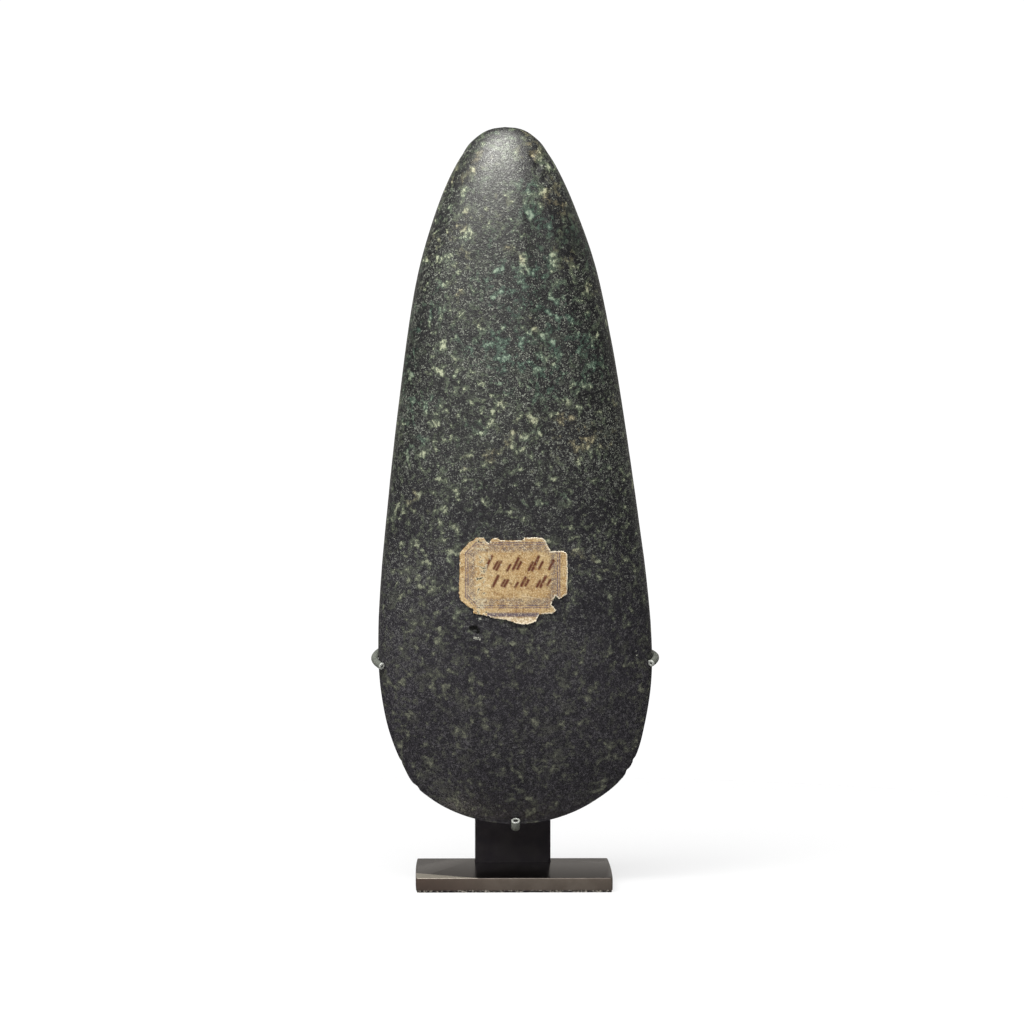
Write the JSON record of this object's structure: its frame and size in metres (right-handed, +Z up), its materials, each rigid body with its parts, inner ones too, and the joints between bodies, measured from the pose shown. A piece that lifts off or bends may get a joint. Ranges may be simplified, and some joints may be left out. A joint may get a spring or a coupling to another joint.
{
  "type": "jadeite axe head",
  "caption": "Polished green-black stone axe head, edge down, held by wire arms with clear sleeves on a bronze post and flat base plate, with an old paper label.",
  "frame": {"origin": "centre of the base plate's underside", "axes": "+Z up, along the axe head from its cutting edge to its butt; the face with the paper label looks towards -Y; +X to the right as seen from that side"},
  "size_m": [0.0753, 0.0405, 0.1978],
  "materials": {
    "jadeite": "satin",
    "paper": "matte",
    "patinated_bronze": "satin",
    "blackened_bronze": "satin",
    "clear_tubing": "gloss"
  },
  "bodies": {
    "root": {"axe_head": "jadeite", "paper_label": "paper", "base_plate": "patinated_bronze", "post": "blackened_bronze", "left_arm": "blackened_bronze", "right_arm": "blackened_bronze", "bottom_prong": "blackened_bronze", "left_sleeve": "clear_tubing", "right_sleeve": "clear_tubing", "bottom_sleeve": "clear_tubing"}
  },
  "joints": []
}
